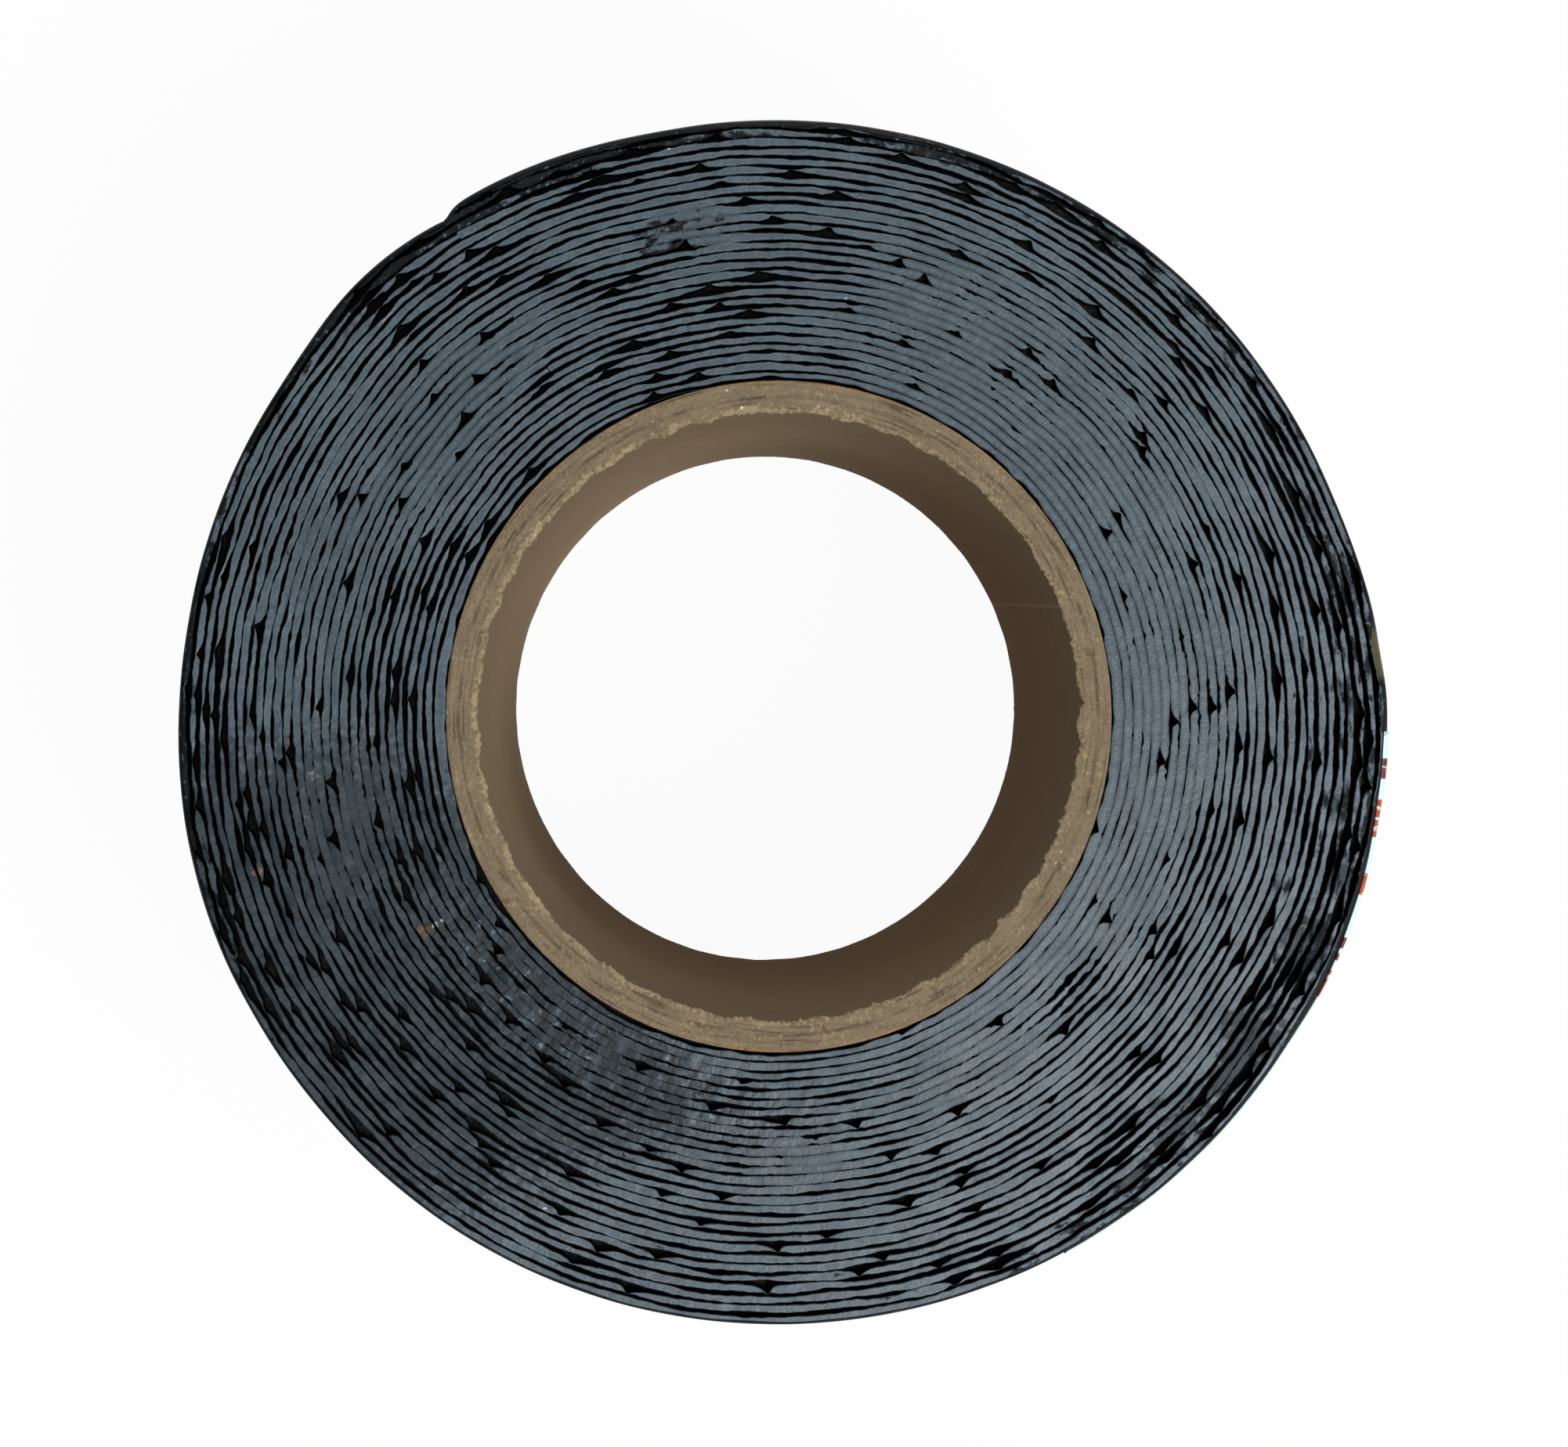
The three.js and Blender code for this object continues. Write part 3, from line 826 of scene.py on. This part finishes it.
def body_end(turn):
    """The rings of one end from the bore to the outer wall: radius, depth below the cut, how far
    round the rim it is, and how deep it lies in a gap."""
    edge = rim(turn, 0)[0] - 0.01
    rings = [(np.full_like(turn, felt_bore_radius), recess, 0, recess),
             (edge, recess, 0, recess), (edge, 0.2, 0.5, 0.1)]
    for step in range(rim_rings):
        radius, depth = rim(turn, step / (rim_rings - 1) * np.pi / 2)
        rings.append((radius, depth, min(0.5 + step / 3, 1), 0))
    return rings


def inwards_at(height):
    """0 on a cut end, and 1 where the strip's end is no longer pressed down."""
    return even_steps(0, pressed_height, min(height, roll_width - height))


def film_material():
    material, start, place = material_wires("black_film")
    depth, tape, across = start.note("depth"), start.note("tape"), start.note("across")
    cloud = place.noise(60, 4, 0.55)
    colour = cloud.step(0.35, 0.65).between(srgb(11, 13, 15), srgb(22, 25, 28))
    colour = colour.darkened(0.6 + 0.8 * place.noise(900, 3, 0.6))
    glint = place.noise(760, 3, 0.6).step(0.61, 0.68) * across.step(0.95, 0.6)
    colour = colour.blended(srgb(84, 102, 108), glint * 0.6)
    rubbed = (place.noise(500, 4, 0.65) + cloud).step(1.16, 1.26)
    colour = colour.blended(srgb(58, 62, 64), rubbed * 0.4)
    colour = colour.blended(srgb(74, 70, 44), tape * place.noise(700).step(0.24, 0.38))
    # Three pale spots on the rim are painted glints.
    colour = spotted(colour, place, cloud * 0.8 - 0.4, [
        (-20.0, 71.4, 0.4, (150, 160, 158)), (-40.1, 63.4, 0.35, (140, 152, 152)),
        (-0.2, -75.4, 0.4, (150, 156, 152))])
    grains = place.noise(700, 4, 0.65).step(0.4, 0.7)
    dust = place.axis(2).step(0.016, 0.0) * grains * across.step(0.9, 1.0)
    colour = colour.blended(srgb(84, 84, 80), dust * 0.5)
    wrinkle = place.stretched(1, 1, 0.4).noise(150, 4, 0.55)
    relief = wrinkle * 6 + place.noise(45, 2) * 5 + place.noise(1100, 3, 0.6) * 0.7
    roughness = 0.62 - 0.26 * across.step(0.9, 1.0) + 0.22 * (cloud - 0.5) + 0.3 * dust
    # The floor under the gaps, a recess below the cut, is matt black: painted shade of gaps that
    # run deeper in the real roll.
    finish(start, colour, roughness, relief, specular=0.2, black=depth.step(0.06, 0.3))
    return material


# Once round the roll, and then back in at the step where the strip ends.
share = np.linspace(0, 1, body_columns + 1)
outer_turn = turns + share
outer_turn[-1] = turns + 1 - 1e-9
outer_turn = np.append(outer_turn, turns)
share = np.append(share, 0)
film_end = body_end(outer_turn)
film_wall = []
for step, height in enumerate(np.linspace(rim_height, roll_width - rim_height, wall_rings)):
    inwards = inwards_at(height)
    wrinkle = 0.12 * waver(share * outer_turn_length, 23, 300 + step)
    wrinkle = wrinkle * even_steps(0, 0.02, share) * even_steps(1, 0.98, share)
    film_wall.append((outside(outer_turn, inwards) + wrinkle * inwards, height, 1, 0))
film_rings = [(radius, roll_width - depth, *notes) for radius, depth, *notes in film_end]
film_rings = film_rings + film_wall[::-1] + film_end[::-1] + film_rings[:1]
outer_degrees = np.degrees(turn_angle(outer_turn)) % 360
tape = even_steps(tape_starts, tape_full, outer_degrees)
tape = tape * even_steps(tape_ends, tape_fades, outer_degrees)
body = skin(
    "felt_roll_outside",
    stacked(film_rings, 0),
    turn_angle(outer_turn),
    stacked(film_rings, 1),
    film_material(),
    across=stacked(film_rings, 2),
    depth=stacked(film_rings, 3),
    tape=tape,
)
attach(body, "root")
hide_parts("felt_roll")


# The label: thin coated paper stuck round part of the outside after winding, so that it reaches up
# on to the soft rims. It carries plain blocks of colour.
label_start_angle = -62
label_end_angle = -1.4
label_radius = 76
label_columns = 260
label_rim_rows = 7
label_wall_rows = 24
label_back, label_front = 0.06, 0.2  # how far its two faces stand off the felt

# Marks on the label's upper edge: where each starts, is full, fades and ends, in millimetres along.
red_marks = ((3.2, 3.5, 5.8, 6.1), (26.3, 26.5, 29.4, 29.6))
orange_marks = ((8.4, 8.7, 13.2, 13.5), (17.8, 18.1, 20.6, 20.9), (30.8, 31, 34.4, 34.8))


def label_material():
    material, start, place = material_wires("label_paper")
    along, height = start.note("along"), place.axis(2) * (1 / mm)
    colour = place.noise(300, 2).between(srgb(196, 228, 220), srgb(212, 238, 231))
    strokes = start.vector(along * mm, height * 0.0004).noise(1500, 2, 0.6).step(0.36, 0.46)
    strokes = strokes * height.step(97.5, 97.7)
    for marks, shade in ((red_marks, srgb(96, 24, 26)), (orange_marks, srgb(168, 62, 24))):
        printed = sum(along.inside(*mark) for mark in marks)
        colour = colour.blended(shade, printed * strokes)
    colour = colour.blended(srgb(206, 96, 44), height.inside(58, 58.3, 80, 80.3))
    colour = colour.blended(srgb(112, 34, 30), height.inside(8, 8.3, 14, 14.3))
    colour = colour.darkened(0.9 + 0.2 * place.noise(140, 5, 0.62))
    edge = height.step(2.0, 1.0) + along.step(0.8, 0.0) + along.step(79.4, 80.2)
    worn = (edge * 0.28 + place.noise(650, 4, 0.65) - 0.5).step(0.2, 0.28)
    colour = colour.blended(srgb(132, 134, 128), worn * 0.55)
    roughness = 0.42 + 0.12 * place.noise(200) + 0.25 * worn
    dents = place.stretched(1, 1, 0.35).noise(70)
    finish(start, colour, roughness, dents * 9 + place.noise(1500) * 0.35, 0.08 * mm)
    return material


label_degrees = np.linspace(label_start_angle, label_end_angle, label_columns)
label_angle = np.radians(label_degrees)
label_turn = turns + (label_degrees - strip_end_angle) % 360 / 360

# Where the sheet's edge lies on the bend of the rim. It climbs furthest at its last few degrees
# and least over the half that starts the sheet.
label_bend = 0.16 + 0.34 * even_steps(-3, -12, label_degrees)
label_bend = label_bend + 0.7 * even_steps(-19, -31, label_degrees)


def label_side(stand):
    """The rows of one side of the sheet from its lower edge to its upper one."""
    rim_rows, wall_rows = [], []
    for share in np.linspace(0, 1, label_rim_rows):
        bend = label_bend + share * (np.pi / 2 - label_bend)
        radius, depth = rim(label_turn, bend)
        depth = np.maximum(depth - stand * np.cos(bend), 0.25 - stand)
        rim_rows.append((radius + stand * np.sin(bend), depth))
    for height in np.linspace(rim_height, roll_width - rim_height, label_wall_rows):
        inwards = inwards_at(height)
        wall_rows.append((outside(label_turn, inwards) + stand + 0.1 * inwards, height))
    upper_rows = [(radius, roll_width - depth) for radius, depth in rim_rows[::-1]]
    return rim_rows + wall_rows + upper_rows


back, front = label_side(label_back), label_side(label_front)
label_rows = back + front[::-1] + back[:1]
radius, height = stacked(label_rows, 0), stacked(label_rows, 1)
for grid in (radius, height):
    for end in (0, -1):  # the back meets the front at both ends of the sheet
        grid[:len(back), end] = grid[len(back):2 * len(back), end][::-1]
        grid[-1, end] = grid[0, end]
label = skin("label_sheet", radius, label_angle, height, label_material(),
             along=(label_angle[-1] - label_angle) * label_radius)
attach(label, "root")
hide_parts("label")


# The floor, which is pale and takes the roll's soft shadow.
def floor_material():
    material, start, _ = material_wires("pale_floor")
    seen = start.node("LightPath", {}, {}, "Is Camera Ray")
    glossy = start.node("LightPath", {}, {}, "Is Glossy Ray")
    through = start.node("LightPath", {}, {}, "Is Transmission Ray")
    lit = start.node("BsdfDiffuse", {}, {"Color": (0.8, 0.8, 0.8, 1)})
    plain = start.node("Emission", {}, {"Color": (1, 1, 1, 1), "Strength": 1.0})
    share = seen.larger(glossy).larger(through) * 0.95
    mixed = start.node("MixShader", {}, {0: share, 1: lit, 2: plain})
    start.node("OutputMaterial", {}, {"Surface": mixed})
    return material


floor_grid = bmesh.new()
bmesh.ops.create_grid(floor_grid, x_segments=1, y_segments=1, size=3)
floor_mesh = bpy.data.meshes.new("floor")
floor_grid.to_mesh(floor_mesh)
floor_grid.free()
floor_mesh.materials.append(floor_material())
floor = bpy.data.objects.new("floor", floor_mesh)
bpy.context.scene.collection.objects.link(floor)


# The light: a pale sky all round, one soft lamp up to the lower right of the roll, and a weaker
# one across from it, which lights the other side of the bore.
world = bpy.data.worlds.new("studio")
bpy.context.scene.world = world
world.use_nodes = True
sky = world.node_tree.nodes["Background"].inputs
sky["Color"].default_value = (1, 1, 1, 1)
sky["Strength"].default_value = 0.4
for name, place, size, energy in (("softbox", (0.36, -0.34, 1.0), 0.45, 9.2),
                                  ("fill", (0.36, 0.66, 0.72), 0.7, 2.3)):
    lamp = bpy.data.objects.new(name, bpy.data.lights.new(name, "AREA"))
    lamp.data.size = size
    lamp.data.energy = energy
    bpy.context.scene.collection.objects.link(lamp)
    lamp.location = place
    lamp.rotation_euler = (Vector((0, 0, 0.1)) - lamp.location).to_track_quat("-Z", "Y").to_euler()
